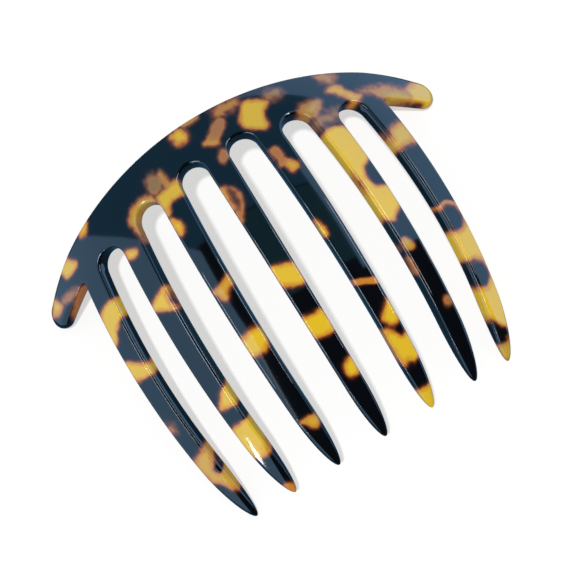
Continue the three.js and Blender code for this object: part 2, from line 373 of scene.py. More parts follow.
def edit_with(select):
    """Select vertices and edges of the blank by two masks, and leave it in edit mode, ready to extrude."""
    bpy.ops.object.mode_set(mode="OBJECT")
    vertices, edges = select
    mesh.vertices.foreach_set("select", vertices)
    mesh.edges.foreach_set("select", edges)
    mesh.polygons.foreach_set("select", np.zeros(len(mesh.polygons), bool))
    bpy.ops.object.mode_set(mode="EDIT")


def edge_ends():
    ends = np.zeros(len(mesh.edges) * 2, int)
    mesh.edges.foreach_get("vertices", ends)
    return ends.reshape(-1, 2)


def rim_edges():
    """The edges that only one face uses."""
    of_loop = np.zeros(len(mesh.loops), int)
    mesh.loops.foreach_get("edge_index", of_loop)
    return np.bincount(of_loop, minlength=len(mesh.edges)) == 1


def on_root_line(flat_points):
    """Which points lie on a tooth's root, where the tooth is drawn out of the back."""
    across = flat_points[:, 0] / MM
    tooth = nearest_tooth(across)
    roots = np.array([ROOTS[t] for t in TEETH])[tooth + TEETH_EACH_SIDE]
    near = np.abs(across - tooth * TOOTH_PITCH) < flat_half_width(roots) + ON_LINE
    return near & (np.abs(-flat_points[:, 1] / MM - roots) < ON_LINE)


bpy.ops.object.select_all(action="DESELECT")
comb.select_set(True)
bpy.context.view_layer.objects.active = comb
bpy.context.tool_settings.mesh_select_mode = (False, True, False)
ends_of = edge_ends()
at_root = on_root_line(read_points(mesh))
strip_edges = rim_edges() & ~(at_root[ends_of[:, 0]] & at_root[ends_of[:, 1]])
strip_vertices = np.zeros(len(mesh.vertices), bool)
strip_vertices[ends_of[strip_edges].ravel()] = True
edit_with((strip_vertices, strip_edges))
strip_insets = [EDGE_RADIUS * (1 - math.sin(math.pi / 2 * i / EDGE_STRIPS)) for i in range(EDGE_STRIPS + 1)]
reached = INSET
for strip_inset in strip_insets:
    bpy.ops.mesh.extrude_region_move()
    bpy.ops.object.mode_set(mode="OBJECT")
    chosen = np.zeros(len(mesh.vertices), bool)
    mesh.vertices.foreach_get("select", chosen)
    points = read_points(mesh)
    outward = np.zeros(len(points) * 3)
    mesh.attributes["outward"].data.foreach_get("vector", outward)
    inset = np.zeros(len(points))
    mesh.attributes["inset"].data.foreach_get("value", inset)
    points[chosen] += outward.reshape(-1, 3)[chosen] * (reached - strip_inset) * MM
    inset[chosen] = strip_inset
    mesh.attributes["inset"].data.foreach_set("value", inset)
    write_points(mesh, points)
    reached = strip_inset
    bpy.ops.object.mode_set(mode="EDIT")
bpy.ops.object.mode_set(mode="OBJECT")
print("blank with its rounded edge:", len(mesh.vertices), "vertices")

# %% [markdown]
# ## Drawing out the teeth
# All seven teeth leave the back from straight root lines, so the lines are extruded together, a row at a
# time. They are plain bars at first. Each row's number tells its place, and one formula then gives the bars
# their taper, their pointed tips and their slight sideways set.

# %% Extrude the roots
SHANK_ROWS = 110
TIP_ROWS = 34
TOOTH_ROWS = 2 + SHANK_ROWS + TIP_ROWS
ROW_STEP = 0.25
points = read_points(mesh)
at_root = on_root_line(points)
ends_of = edge_ends()
root_edges = at_root[ends_of[:, 0]] & at_root[ends_of[:, 1]] & rim_edges()
edit_with((at_root, root_edges))
for _ in range(TOOTH_ROWS):
    bpy.ops.mesh.extrude_region_move(TRANSFORM_OT_translate={"value": (0, -ROW_STEP * MM, 0)})
bpy.ops.object.mode_set(mode="OBJECT")
print("teeth drawn out in", TOOTH_ROWS, "rows,", len(mesh.vertices), "vertices")

# %% [markdown]
# The two rows just below each root are the parting, a hairline that cuts each tooth from the back.
# The tip narrows as a half ellipse does, and its rows close up where it turns fastest.

# %% Shape the bars
PARTING = 0.02
HORN_EDGE_RADIUS = 1.9
HORN_ROUNDING_FROM = 51
LAST_TURN = math.radians(3)
TIP_END_TURN = 0.004
LEAST_HALF_THICKNESS = 0.02


def tooth_row_levels(tooth):
    top = ROOTS[tooth] + ROOT_GAP / 2
    parting = [top - PARTING / 2, top + PARTING / 2]
    shank = [lerp(parting[1], SHANK_END, i / SHANK_ROWS) for i in range(1, SHANK_ROWS + 1)]
    tip = []
    for i in range(1, TIP_ROWS + 1):
        facing = lerp(math.pi / 2, LAST_TURN, i / TIP_ROWS)
        narrow = TIP_END_TURN
        if i < TIP_ROWS:
            narrow = math.atan(NECK_WIDTH / 2 / TIP_LENGTH * math.tan(facing))
        evenly = math.pi / 2 * (1 - i / TIP_ROWS)
        tip.append(SHANK_END + TIP_LENGTH * math.cos(lerp(evenly, narrow, (i / TIP_ROWS) ** 2)))
    return np.array([ROOTS[tooth]] + parting + shank + tip)


def section_at(level):
    """A tooth's half width, half thickness and edge radius at a level."""
    taper = np.clip((level - SHANK_END) / TIP_LENGTH, 0, 1)
    half_width = tooth_width(level) / 2 * np.sqrt(1 - taper ** 2)
    half_thick = HALF_SHEET * (1 - TIP_THINNING * taper ** 2) * np.sqrt(1 - taper ** 6)
    return half_width, half_thick, lerp(EDGE_RADIUS, np.minimum(half_width, half_thick), taper)


points = read_points(mesh)
inset = np.zeros(len(points))
mesh.attributes["inset"].data.foreach_get("value", inset)
across = points[:, 0] / MM
level = -points[:, 1] / MM

# The horns are polished rounder than the rest, more and more towards their ends.
outline = np.array([p[:2] for p in lower + upper + end_rows + [mirrored(p) for p in end_rows]])
near_horn = np.flatnonzero(np.abs(across) > HORN_ROUNDING_FROM)
to_outline = np.hypot(
    across[near_horn, None] - outline[None, :, 0],
    level[near_horn, None] - outline[None, :, 1],
).min(axis=1)
inset[near_horn] = np.minimum(inset[near_horn], EDGE_RADIUS)
inset[near_horn] = np.where(inset[near_horn] < EDGE_RADIUS, inset[near_horn], to_outline)
rounding_length = OUTER_TOOTH + HORN_REACH - HORN_ROUNDING_FROM
rounder = np.clip((np.abs(across) - HORN_ROUNDING_FROM) / rounding_length, 0, 1)
edge_radius = lerp(EDGE_RADIUS, HORN_EDGE_RADIUS, rounder)
edge_reach = edge_radius - np.minimum(inset, edge_radius)
half_thick = HALF_SHEET - edge_radius + np.sqrt(np.maximum(edge_radius ** 2 - edge_reach ** 2, 0))
part_row = np.zeros(len(points), int)
tooth_of = nearest_tooth(across)
for tooth in TEETH:
    middle = tooth * TOOTH_PITCH
    root_half = flat_half_width(ROOTS[tooth])
    levels = tooth_row_levels(tooth)
    below_root = (tooth_of == tooth) & (np.abs(across - middle) < root_half + ON_LINE)
    below_root &= level > ROOTS[tooth] + ROW_STEP / 2
    station = np.rint((level[below_root] - ROOTS[tooth]) / ROW_STEP).astype(int)
    new_level = levels[station]
    half_width, thick, radius = section_at(new_level)
    side = np.sign(across[below_root] - middle)
    from_middle = np.abs(across[below_root] - middle)
    flat_part = root_half - EDGE_RADIUS
    on_flat = from_middle <= flat_part
    sine = np.clip((from_middle - flat_part) / EDGE_RADIUS, 0, 1)
    reach = np.where(
        on_flat,
        from_middle / flat_part * (half_width - radius),
        half_width - radius + radius * sine,
    )
    fall = np.where(on_flat, 0, radius - radius * np.sqrt(1 - sine ** 2))
    drift = TIP_OFFSETS[tooth + TEETH_EACH_SIDE] * (
        np.maximum(new_level - ROOTS[tooth] - ROOT_GAP, 0) / (TIP_LEVEL - ROOTS[tooth] - ROOT_GAP)
    ) ** 2
    stretch = DOME_RADIUS / ring_radius(new_level)
    across[below_root] = middle + (side * reach + drift) * stretch
    level[below_root] = new_level
    half_thick[below_root] = np.maximum(thick - fall, LEAST_HALF_THICKNESS)
    part_row[below_root] = station
write_points(mesh, np.column_stack([across, -level, np.zeros(len(across))]) * MM)
print("tips at level", round(float(level.max()), 2), "of", TIP_LEVEL)

# %% [markdown]
# ## From a drawing to a solid
# The blank is still a drawing with no thickness. The hairlines are cut first, so that the back and the teeth
# come apart. A Solidify modifier then thickens it, and a vertex group tells it how thick the sheet is at each
# vertex: full on the faces, less down the rounded edge, and least at the tips.

# %% Cut the hairlines and thicken the sheet
bpy.ops.object.select_all(action="DESELECT")
comb.select_set(True)
bpy.context.view_layer.objects.active = comb
thickness = comb.vertex_groups.new(name="thickness")
for index, half in enumerate(half_thick):
    thickness.add([index], float(half / HALF_SHEET), "REPLACE")
corner_vertices = np.zeros(len(mesh.loops), int)
mesh.loops.foreach_get("vertex_index", corner_vertices)
corner_rows = part_row[corner_vertices].reshape(-1, 4)
hairline = (corner_rows.min(axis=1) == 1) & (corner_rows.max(axis=1) == 2)
bpy.context.tool_settings.mesh_select_mode = (False, False, True)
bpy.ops.object.mode_set(mode="EDIT")
bpy.ops.mesh.select_all(action="DESELECT")
bpy.ops.object.mode_set(mode="OBJECT")
mesh.polygons.foreach_set("select", hairline)
bpy.ops.object.mode_set(mode="EDIT")
bpy.ops.mesh.delete(type="FACE")
bpy.ops.mesh.select_all(action="SELECT")
bpy.ops.mesh.normals_make_consistent(inside=False)
bpy.ops.object.mode_set(mode="OBJECT")
solidify = comb.modifiers.new("sheet", "SOLIDIFY")
solidify.thickness = SHEET_THICKNESS * MM
solidify.offset = 0
solidify.vertex_group = "thickness"
solidify.thickness_vertex_group = 0
bpy.ops.object.modifier_apply(modifier=solidify.name)
print("cut faces:", int(hairline.sum()), "solid:", len(mesh.vertices), "vertices")

# %% Part the back from the teeth
bpy.ops.object.mode_set(mode="EDIT")
bpy.ops.mesh.select_all(action="SELECT")
bpy.ops.mesh.normals_make_consistent(inside=False)
bpy.ops.mesh.separate(type="LOOSE")
bpy.ops.object.mode_set(mode="OBJECT")
shells = {}
for piece in bpy.context.selected_objects:
    flat = read_points(piece.data) / MM
    if flat[:, 1].max() > -CENTRE_SLOT_LEVEL:
        name = "back"
    else:
        name = f"tooth_{nearest_tooth(flat[:, 0].mean()) + TEETH_EACH_SIDE + 1}"
    piece.name = name + "_shell"
    piece.data.name = piece.name
    shells[name] = piece
print("pieces:", sorted(shells))

# %% [markdown]
# ## Where the shell is amber
# Tortoiseshell acetate is made of amber and dark pieces pressed into one block, so its blotches have places
# of their own. Noise alone gives even camouflage, never this comb. The blotches are drawn instead, as
# outlines on the flat sheet in millimetres, and noise only breaks up their edges. A blotch has a tint, a
# softness (the width of its edge) and corners, or a middle and two half sizes if it is an oval. A tint says
# how orange the amber is and how smoky. One smoky band round the top of a slot is no blotch of the shell but
# painted shade.

# %% The blotches of the back
CRISP = 0.8
SOFT = 1.8
HONEY = (0.05, 0.0)
ORANGE = (0.8, 0.0)
ROSE = (0.9, 0.45)
RUST = (1.0, 0.3)
AUBURN = (0.35, 0.1)
TAN = (0.3, 0.4)
# This tint is smoky amber on most blotches, and painted shade on the band round the top of one slot.
SMOKE_AND_PAINTED_SHADE = (0.15, 0.3)
SMOKY = (0.2, 0.75)
OLIVE = (0.05, 0.14)

back_blotches = [
    (HONEY, CRISP, [(-46, -39.3), (-44, -38.1), (-42.2, -38.9), (-41.3, -41.4), (-43.6, -41)]),
    (HONEY, CRISP, [(-57.2, -34.9), (-54.3, -36.5), (-51.8, -35.6), (-48.9, -33.1), (-51.8, -32),
                    (-55.2, -31.4), (-56.1, -33.1)]),
    (HONEY, 1.1, [(-66.8, -25.8), (-65, -28.7), (-63.2, -29.6), (-60.3, -26.7), (-61, -25.6),
                  (-64.5, -25.2)]),
    (ROSE, 1.1, (-57, -27.2), (2.7, 0.7)),
    (RUST, 0.5, [(-50, -27.8), (-56, -24.8), (-62, -21.3), (-62, -18), (-50, -24)]),
    # This band hugs the top of the slot between the second and third teeth and the side of the second tooth
    # beside it: it is painted shade in the slot, not a blotch of the shell.
    (SMOKE_AND_PAINTED_SHADE, 1.0, [(-28.9, -33.4), (-28.2, -34.8), (-26.8, -36.2), (-24.4, -37.2), (-21.5, -37),
                  (-19.4, -35.6), (-20.3, -33.6), (-23.2, -35), (-26.2, -33.4), (-27.2, -30),
                  (-26.8, -26.6), (-27.6, -28.2), (-28.2, -31)]),
    (HONEY, CRISP, [(-34, -27.8), (-32, -27.3), (-30.2, -26.2), (-30.6, -25.1), (-33.7, -25.1)]),
    (SMOKY, 1.4, (-17.8, -38.4), (1.9, 2.3)),
    (TAN, 1.1, [(-16, -40.8), (-14.6, -40.4), (-13.9, -35.5), (-15.8, -35.5)]),
    (OLIVE, CRISP, [(-19.2, -35.4), (-15.4, -35.4), (-14.3, -36.3), (-11.4, -36), (-11, -33.8),
                    (-11.6, -31.6), (-13.6, -32), (-16.3, -31.8), (-17.7, -30), (-18.1, -28.7),
                    (-18.8, -29.6), (-19, -33.1)]),
    (HONEY, CRISP, [(-18.8, -28.7), (-17.2, -26.9), (-15.9, -25.3), (-16.5, -23.8), (-18.1, -22.2)]),
    (OLIVE, 1.1, [(-8.3, -47.7), (-5.2, -48.5), (-3.6, -47.7), (-2.9, -44.5), (-5.2, -43.8),
                  (-7.9, -44.8), (-7.3, -46.1)]),
    (TAN, CRISP, [(-3.4, -49.4), (2, -49.6), (2, -48), (-3.4, -47.9)]),
    (ROSE, CRISP, [(2.5, -42.3), (4.7, -44.3), (6.9, -44.8), (7.6, -43), (5.6, -41.4), (3.4, -39.8),
                   (2.9, -38.3), (1.6, -39.4), (-1.1, -40.5), (0.7, -40.7)]),
    (HONEY, CRISP, [(-1.1, -40.5), (0.7, -40.9), (3, -39.8), (2.9, -38.3), (1.6, -39)]),
    (ROSE, CRISP, [(0.7, -34.7), (2.5, -36.5), (3.6, -35.4), (2.9, -34), (1.3, -33.1)]),
    (TAN, SOFT, [(6.5, -47.7), (9.8, -48.1), (14.3, -47.7), (14.1, -45.9), (11.4, -45.4), (7.6, -45.2),
                 (6, -46.1)]),
    (OLIVE, CRISP, [(14.1, -45.2), (17.2, -44.8), (19.9, -42.7), (21.2, -41.6), (18.1, -40.5), (17, -38.1),
                    (16.8, -35.8), (15.4, -35.6), (11.4, -38.1), (10.7, -40.3), (12.3, -42.5)]),
    (SMOKY, SOFT, [(20.6, -44.5), (25.5, -44), (25.2, -42), (21.4, -42)]),
    (TAN, 1.2, [(26.6, -36.3), (30.1, -36.3), (33.3, -35.2), (31.5, -33.1), (29.3, -31.8), (26.6, -32.3),
                  (26.1, -34)]),
    (TAN, SOFT, [(36.8, -42.1), (39.5, -42.3), (42.6, -40.3), (40.9, -38.9), (39.5, -37.6), (38.2, -39.8)]),
    (OLIVE, 1.1, [(36, -36.7), (39.1, -37.6), (41.3, -36.3), (42.2, -33.6), (44, -31.8), (47.1, -31.4),
                    (49.8, -29.6), (47.6, -31.1), (44.9, -31.8), (42.6, -30), (40.9, -30.5), (40, -33.1),
                    (37.7, -35.4)]),
    (SMOKE_AND_PAINTED_SHADE, SOFT, [(43.5, -32.6), (47, -32.2), (51, -32), (55, -30.4), (58, -28.4), (60, -26),
                   (59, -22), (54, -23.4), (50, -25.4), (49.6, -29), (47.6, -31)]),
    (HONEY, 1.2, [(58.6, -28.1), (61, -28.6), (65, -29.2), (68, -28), (69, -25.6), (68, -20), (60, -19),
                  (57.4, -22.6)]),
]
print("blotches on the back:", len(back_blotches))

# %% The blotches of the teeth
tooth_blotches = [
    (HONEY, CRISP, [(-49.6, -18.9), (-40.8, -19.6), (-41.1, -14.9), (-44, -14.2), (-46.9, -11.7),
                    (-48.3, -8.9), (-49.8, -9.6)]),
    (HONEY, CRISP, [(-49.6, -4.9), (-46.1, -2.4), (-41.5, 0.1), (-41, 2.2), (-45.4, 1.9), (-49.6, 1.5)]),
    (ROSE, SOFT, (-48.4, 16.2), (0.9, 0.9)),
    (AUBURN, 1.0, [(-49.8, 26.5), (-44, 24.7), (-41, 24.4), (-44.4, 29), (-46.1, 31.1), (-44.4, 32.6),
                    (-41, 29.7), (-41, 34.7), (-43.3, 39.4), (-45.4, 37.9), (-46.5, 34.7), (-49, 33.3)]),
    (HONEY, CRISP, [(-33.9, -11.7), (-31.9, -13.1), (-27.6, -14.6), (-26.5, -12.4), (-28.3, -11),
                    (-26.5, -7.4), (-29.7, -8.5), (-33.9, -10.6)]),
    (HONEY, CRISP, [(-26.4, 14), (-30.1, 15.1), (-31.5, 17.2), (-33.6, 19.4), (-30.1, 19.4),
                    (-26.4, 20.4)]),
    (HONEY, 0.8, [(-34.4, 25), (-31, 24.3), (-26, 24.3), (-26.2, 34.4), (-30, 34.8), (-34, 34.5)]),
    (ORANGE, CRISP, [(-34, 44.6), (-30, 44.2), (-30, 48), (-34, 48)]),
    (AUBURN, CRISP, [(-18.2, -6.4), (-14.7, -6.7), (-12.2, -8.6), (-12, -5.6), (-14.6, -5), (-15.8, -2.4),
                     (-16.7, -3.9)]),
    (HONEY, 1.0, [(-19, 7.1), (-11.6, 6.3), (-11.6, 11.4), (-14.7, 12.6), (-16.9, 12.8), (-19, 11.6)]),
    (AUBURN, CRISP, [(-17.6, 32.2), (-12, 32.6), (-12, 34.7), (-14.7, 35.8), (-16.1, 33.6)]),
    (OLIVE, CRISP, [(-4, -28.2), (-1.6, -27.2), (-1.4, -25), (-2.4, -22), (-4, -19)]),
    (RUST, CRISP, [(-1.6, -26.6), (-0.2, -25.8), (0.4, -23.8), (-0.4, -21.5), (-1.8, -18.9), (-3.4, -17),
                   (-2.6, -22)]),
    (HONEY, CRISP, [(-3.2, -4.2), (0.3, -2.8), (3.2, -1.7), (3.2, 4), (-0.4, 2.6), (-3.2, 1.5)]),
    (HONEY, CRISP, [(-3.2, 10.4), (-0.1, 11.5), (3.2, 11.1), (3.2, 17.2), (-0.1, 17.2), (-3.2, 16.1)]),
    (HONEY, CRISP, [(3.2, 24.7), (0.3, 25.8), (-0.6, 27.6), (-0.1, 29.4), (3.2, 29.4)]),
    (RUST, CRISP, [(12.8, -29.6), (14.8, -29.8), (15.2, -27.6), (14.6, -26.4), (15.4, -25.4), (14.4, -24.6),
                   (13, -24.6), (13.9, -26.2), (13.2, -27.4)]),
    (AUBURN, CRISP, [(14.4, -25.4), (15.9, -25), (17.3, -23.2), (16.7, -22.2), (14.9, -21.8), (14.2, -23.4)]),
    (HONEY, CRISP, [(11.9, -8.9), (12.8, -8.1), (13.9, -4.6), (13.1, -3.5), (11.9, -3.5)]),
    (ORANGE, 0.4, [(11.8, 9.3), (15.3, 10.5), (18.6, 11.9), (18.6, 12.9), (15.3, 11.3), (11.8, 10.1)]),
    (HONEY, CRISP, [(19, 16.5), (19, 22.6), (16.4, 24), (14.9, 22.6), (14.2, 21.1), (16, 19.4)]),
    (HONEY, CRISP, [(13, 23.3), (14.9, 24.7), (16.4, 27.6), (17.8, 26.9), (19, 27), (19, 33.6),
                    (16.7, 34), (13.9, 34.7), (13, 30)]),
    (HONEY, CRISP, [(12, 41), (15, 42), (20, 40.8), (20, 49), (12, 49)]),
    (HONEY, 0.7, [(25.6, -26.8), (34.8, -26.8), (34.8, -15.4), (31.4, -14.6), (29.9, -12.1), (30.6, -8.9),
                  (31, -7.8), (34.8, -6.9), (34.6, -1.7), (31, 0.4), (29.9, 1.9), (27.1, -1),
                  (26.4, -5.3), (27.8, -6.7), (28.5, -10.3), (26.7, -12.8), (25.6, -15.3)]),
    (SMOKY, 2.4, [(25, -31), (35, -31), (35, -29), (25, -29)]),
    (SMOKE_AND_PAINTED_SHADE, 0.6, [(30, 6.2), (31.4, 9), (30.5, 9.9), (29.2, 9.4), (29, 7.8)]),
    (RUST, 0.5, [(27.3, 10.2), (28.3, 11.8), (28.4, 15.6), (27.9, 17), (27.2, 15)]),
    (RUST, 0.6, [(34, 10.6), (34.8, 10.6), (34.8, 17), (34.2, 16.4)]),
    (RUST, CRISP, (32.3, 25.4), (0.7, 0.8)),
    (OLIVE, 1.2, [(44.2, -19.6), (50, -20.6), (50, -13.5), (45.3, -13.9), (40, -13.5), (40, -15.3),
                  (42.4, -16), (43.6, -17.4)]),
    (ORANGE, 0.4, (45.3, 7.9), (4.0, 4.2)),
    (HONEY, 0.7, [(40, 10.6), (42.4, 10.4), (44.6, 11.9), (50, 10.6), (50, 21), (46, 19.7), (43.5, 19.4),
                  (41.7, 17.6), (40, 15.4)]),
    (HONEY, CRISP, [(39, 24), (41.4, 24.6), (46, 20), (50, 20), (50, 41), (45.3, 38.2), (42.4, 34.7),
                    (39.6, 30)]),
    (SMOKE_AND_PAINTED_SHADE, 1.1, [(40, 42), (48, 42), (48, 48), (40, 48)]),
]
dark_spots = [
    (0.35, (-44.3, 31.1), (1.0, 1.2)),
    (1.0, (-27.9, -10.3), (0.4, 1.2)),
    (2.2, (-27, 39.5), (2.5, 3.5)),
    (0.4, (-28.6, 22.3), (2.6, 2.0)),
    (1.6, (-1.4, -24), (0.4, 1.6)),
    (0.8, [(24, -15), (27, -14.6), (28, -11.6), (27.6, -8.6), (26.6, -7), (24, -6.6)]),
    (CRISP, (15.3, 37.6), (2.3, 3.4)),
    (CRISP, (45.3, 7.9), (3.1, 3.4)),
    (CRISP, (44.9, 23.6), (2.9, 3.4)),
    (CRISP, [(38, 33), (41.2, 34), (44, 40), (46.5, 42), (44, 42.6), (38, 42.6)]),
    (0.4, [(51.5, -27), (57, -24.5), (63, -22), (63, -18), (51.5, -22)]),
]
print("blotches on the teeth:", len(tooth_blotches), "and dark spots:", len(dark_spots))

# %% [markdown]
# The outlines become numbers on every vertex: how deep it lies inside the amber, counted in edge widths, how
# orange that amber is and how much smoke lies over it. Where blotches meet, their tints blend, and the deeper
# one weighs more. On the inner face the whole pattern sits a little to
# one side, as it does where the blocks of acetate were cut at a slant.

# %% Read the blotches at a place
OUTLINE_ROUNDING = 0.5
SLANT = 0.18
TINT_BLENDING = 1.6
TINT_DEPTH = 3
MOST_DEPTH = 6


def round_off(corners):
    """Cut every corner of a closed outline twice, so that it runs in soft curves."""
    for _ in range(2):
        cut = []
        for start, end in zip(corners, corners[1:] + corners[:1]):
            for share in (0.25, 0.75):
                cut.append((lerp(start[0], end[0], share), lerp(start[1], end[1], share)))
        corners = cut
    return corners


def depth_in_outline(corners, across, level):
    """Distance to a closed outline, counted positive inside it."""
    nearest = np.full(len(across), 1e9)
    inside = np.zeros(len(across), bool)
    for start, end in zip(corners, corners[1:] + corners[:1]):
        run = np.array(end) - np.array(start)
        share = ((across - start[0]) * run[0] + (level - start[1]) * run[1]) / (run @ run)
        share = np.clip(share, 0, 1)
        gap = np.hypot(across - start[0] - share * run[0], level - start[1] - share * run[1])
        nearest = np.minimum(nearest, gap)
        if start[1] != end[1]:
            spans = (level >= min(start[1], end[1])) & (level < max(start[1], end[1]))
            crossing = start[0] + (level - start[1]) * run[0] / run[1]
            inside ^= spans & (across < crossing)
    return np.where(inside, nearest, -nearest)


def depth_in_oval(middle, half_sizes, across, level):
    reach = np.hypot((across - middle[0]) / half_sizes[0], (level - middle[1]) / half_sizes[1])
    return (1 - reach) * min(half_sizes)


def blotch_depth(shape, across, level):
    """Depth in a shape, which holds either one list of corners or a middle and two half sizes."""
    if len(shape) == 1:
        return depth_in_outline(round_off(shape[0]), across, level)
    return depth_in_oval(*shape, across, level)


def shell_pattern(across, level):
    total = np.full(len(across), 1e-9)
    orange = np.zeros(len(across))
    smoke = np.zeros(len(across))
    amber = np.full(len(across), float(-MOST_DEPTH))
    for tint, softness, *shape in back_blotches + tooth_blotches:
        depth = blotch_depth(shape, across, level) + OUTLINE_ROUNDING
        weight = np.exp(TINT_BLENDING * np.clip(depth, -MOST_DEPTH, TINT_DEPTH))
        total += weight
        orange += weight * tint[0]
        smoke += weight * tint[1]
        amber = np.maximum(amber, depth / softness)
    for softness, *shape in dark_spots:
        amber = np.minimum(amber, -blotch_depth(shape, across, level) / softness)
    return np.clip(amber, -MOST_DEPTH, MOST_DEPTH), orange / total, smoke / total


for piece in shells.values():
    flat = read_points(piece.data) / MM
    across, level, out = flat[:, 0], -flat[:, 1], flat[:, 2]
    slant = SLANT * (HALF_SHEET - out)
    fields = shell_pattern(across + slant, level + slant)
    for name, values in zip(("amber", "orange", "smoke"), fields):
        piece.data.attributes.new(name, "FLOAT", "POINT").data.foreach_set("value", values)
    sheet_place = np.column_stack([across, level, out]).ravel()
    piece.data.attributes.new("sheet_place", "FLOAT_VECTOR", "POINT").data.foreach_set("vector", sheet_place)
    print(piece.name, "amber share:", round(float((fields[0] > 0).mean()), 2))

# %% [markdown]
# ## Pressing the sheet
# Now the flat pieces are laid on the dome, and the comb is tipped to lie as it does in the frame. The back is
# attached to its body.

# %% Bend and ride
SMOOTH_ANGLE = math.radians(35)
hinges = {joint["child"]: joint for joint in frame["joints"]}
last_axis = hinges[f"tooth_{len(TEETH)}"]["axis"]
TIP_OVER = math.atan2(last_axis[1], -last_axis[2])
tip_over = np.array(Matrix.Rotation(TIP_OVER, 3, "X"))
middle_hinge = on_dome(np.array(0.0), np.array(ROOTS[0] + ROOT_GAP / 2), 0.0)
AXIS_PLACE = np.array(hinges[f"tooth_{TEETH_EACH_SIDE + 1}"]["pos_m"]) / MM - tip_over @ middle_hinge


def press(across, level, out):
    return (on_dome(across, level, out) @ tip_over.T + AXIS_PLACE) * MM


for name, piece in shells.items():
    flat = read_points(piece.data) / MM
    write_points(piece.data, press(flat[:, 0], -flat[:, 1], flat[:, 2]))
    bpy.ops.object.select_all(action="DESELECT")
    piece.select_set(True)
    bpy.context.view_layer.objects.active = piece
    bpy.ops.object.mode_set(mode="EDIT")
    bpy.ops.mesh.select_all(action="SELECT")
    bpy.ops.mesh.normals_make_consistent(inside=False)
    bpy.ops.object.mode_set(mode="OBJECT")
    bpy.ops.object.shade_smooth_by_angle(angle=SMOOTH_ANGLE)
    piece.vertex_groups.clear()
    for spare in ("outward", "inset"):
        piece.data.attributes.remove(piece.data.attributes[spare])
    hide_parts(name)
    if name == "back":
        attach(piece, "back")
    else:
        tooth = int(name[-1]) - 1 - TEETH_EACH_SIDE
        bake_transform(piece)
    print(piece.name, "faces:", len(piece.data.polygons))

# %% [markdown]
# ## Tortoiseshell
# Real acetate is clear amber with dark brown in it, polished until it shines like glass. Where amber meets
# dark, a rust-coloured fringe shows. Ramps read by depth in the amber give all of that.

# %% The acetate
shell = bpy.data.materials.new("tortoiseshell_acetate")
shell.use_nodes = True
nodes = shell.node_tree.nodes
links = shell.node_tree.links
nodes.clear()


def add_node(kind, place, **values):
    node = nodes.new(kind)
    node.location = place
    for name, value in values.items():
        setattr(node, name, value)
    return node


def read_attribute(name, place):
    return add_node("ShaderNodeAttribute", place, attribute_name=name)


def combine(operation, first, second, place):
    node = add_node("ShaderNodeMath", place, operation=operation)
    for socket, value in zip(node.inputs, (first, second)):
        if isinstance(value, (int, float)):
            socket.default_value = value
        else:
            links.new(value, socket)
    return node.outputs[0]


def add_noise(scale, detail, roughness, place):
    node = add_node("ShaderNodeTexNoise", place)
    node.inputs["Scale"].default_value = scale
    node.inputs["Detail"].default_value = detail
    node.inputs["Roughness"].default_value = roughness
    links.new(sheet_coordinates, node.inputs["Vector"])
    return node.outputs["Fac"]


def add_ramp(value, stops, place):
    node = add_node("ShaderNodeValToRGB", place)
    elements = node.color_ramp.elements
    while len(elements) > 1:
        elements.remove(elements[-1])
    for number, (position, colour) in enumerate(stops):
        element = elements[0] if number == 0 else elements.new(position)
        element.position = position
        element.color = (*colour, 1)
    links.new(value, node.inputs["Fac"])
    return node.outputs["Color"]


def mix_colours(share, first, second, place):
    node = add_node("ShaderNodeMix", place, data_type="RGBA")
    sockets = [node.inputs[name] for name in ("Factor", "A", "B")]
    for socket, value in zip(sockets, (share, first, second)):
        if isinstance(value, tuple):
            socket.default_value = (*value, 1)
        elif isinstance(value, (int, float)):
            socket.default_value = value
        else:
            links.new(value, socket)
    return node.outputs["Result"]


sheet_coordinates = read_attribute("sheet_place", (-1600, -300)).outputs["Vector"]
amber_depth = read_attribute("amber", (-1600, 300)).outputs["Fac"]
orange_share = read_attribute("orange", (-1600, 100)).outputs["Fac"]
smoke_share = read_attribute("smoke", (-1600, -100)).outputs["Fac"]
print("attributes read:", [n.attribute_name for n in nodes])

# %% Break up the edges and colour by depth
WOBBLE = 1.4
edge_noise = add_noise(0.5, 1.5, 0.4, (-1300, 500))
centred_noise = combine("SUBTRACT", edge_noise, 0.5, (-1100, 500))
wobble = combine("MULTIPLY", centred_noise, WOBBLE, (-950, 500))
depth = combine("ADD", amber_depth, wobble, (-800, 400))
cloud = add_noise(0.16, 2, 0.5, (-1300, 200))
honey = mix_colours(cloud, (0.58, 0.385, 0.008), (0.51, 0.345, 0.026), (-700, 150))
rusty_honey = mix_colours(orange_share, honey, (0.38, 0.12, 0.03), (-500, 150))
scaled = combine("MULTIPLY_ADD", depth, 1 / 6, (-650, 400))
scaled.node.inputs[2].default_value = 1 / 3
dark_to_rust = add_ramp(scaled, [
    (0.0, (0.0018, 0.0024, 0.0035)),
    (0.17, (0.0035, 0.0030, 0.0035)),
    (0.25, (0.022, 0.0065, 0.0045)),
    (0.33, (0.11, 0.028, 0.010)),
    (0.44, (0.40, 0.135, 0.018)),
], (-450, 450))
amber_share = add_ramp(scaled, [(0.39, (0, 0, 0)), (0.64, (1, 1, 1))], (-450, 650))
body_colour = mix_colours(amber_share, dark_to_rust, rusty_honey, (-250, 300))
smoke_reach = add_ramp(scaled, [(0.2, (0, 0, 0)), (0.5, (1, 1, 1))], (-450, 850))
veil = combine("MULTIPLY", smoke_share, smoke_reach, (-250, 600))
final_colour = mix_colours(veil, body_colour, (0.075, 0.072, 0.055), (-80, 300))
print("colour nodes:", len(nodes))

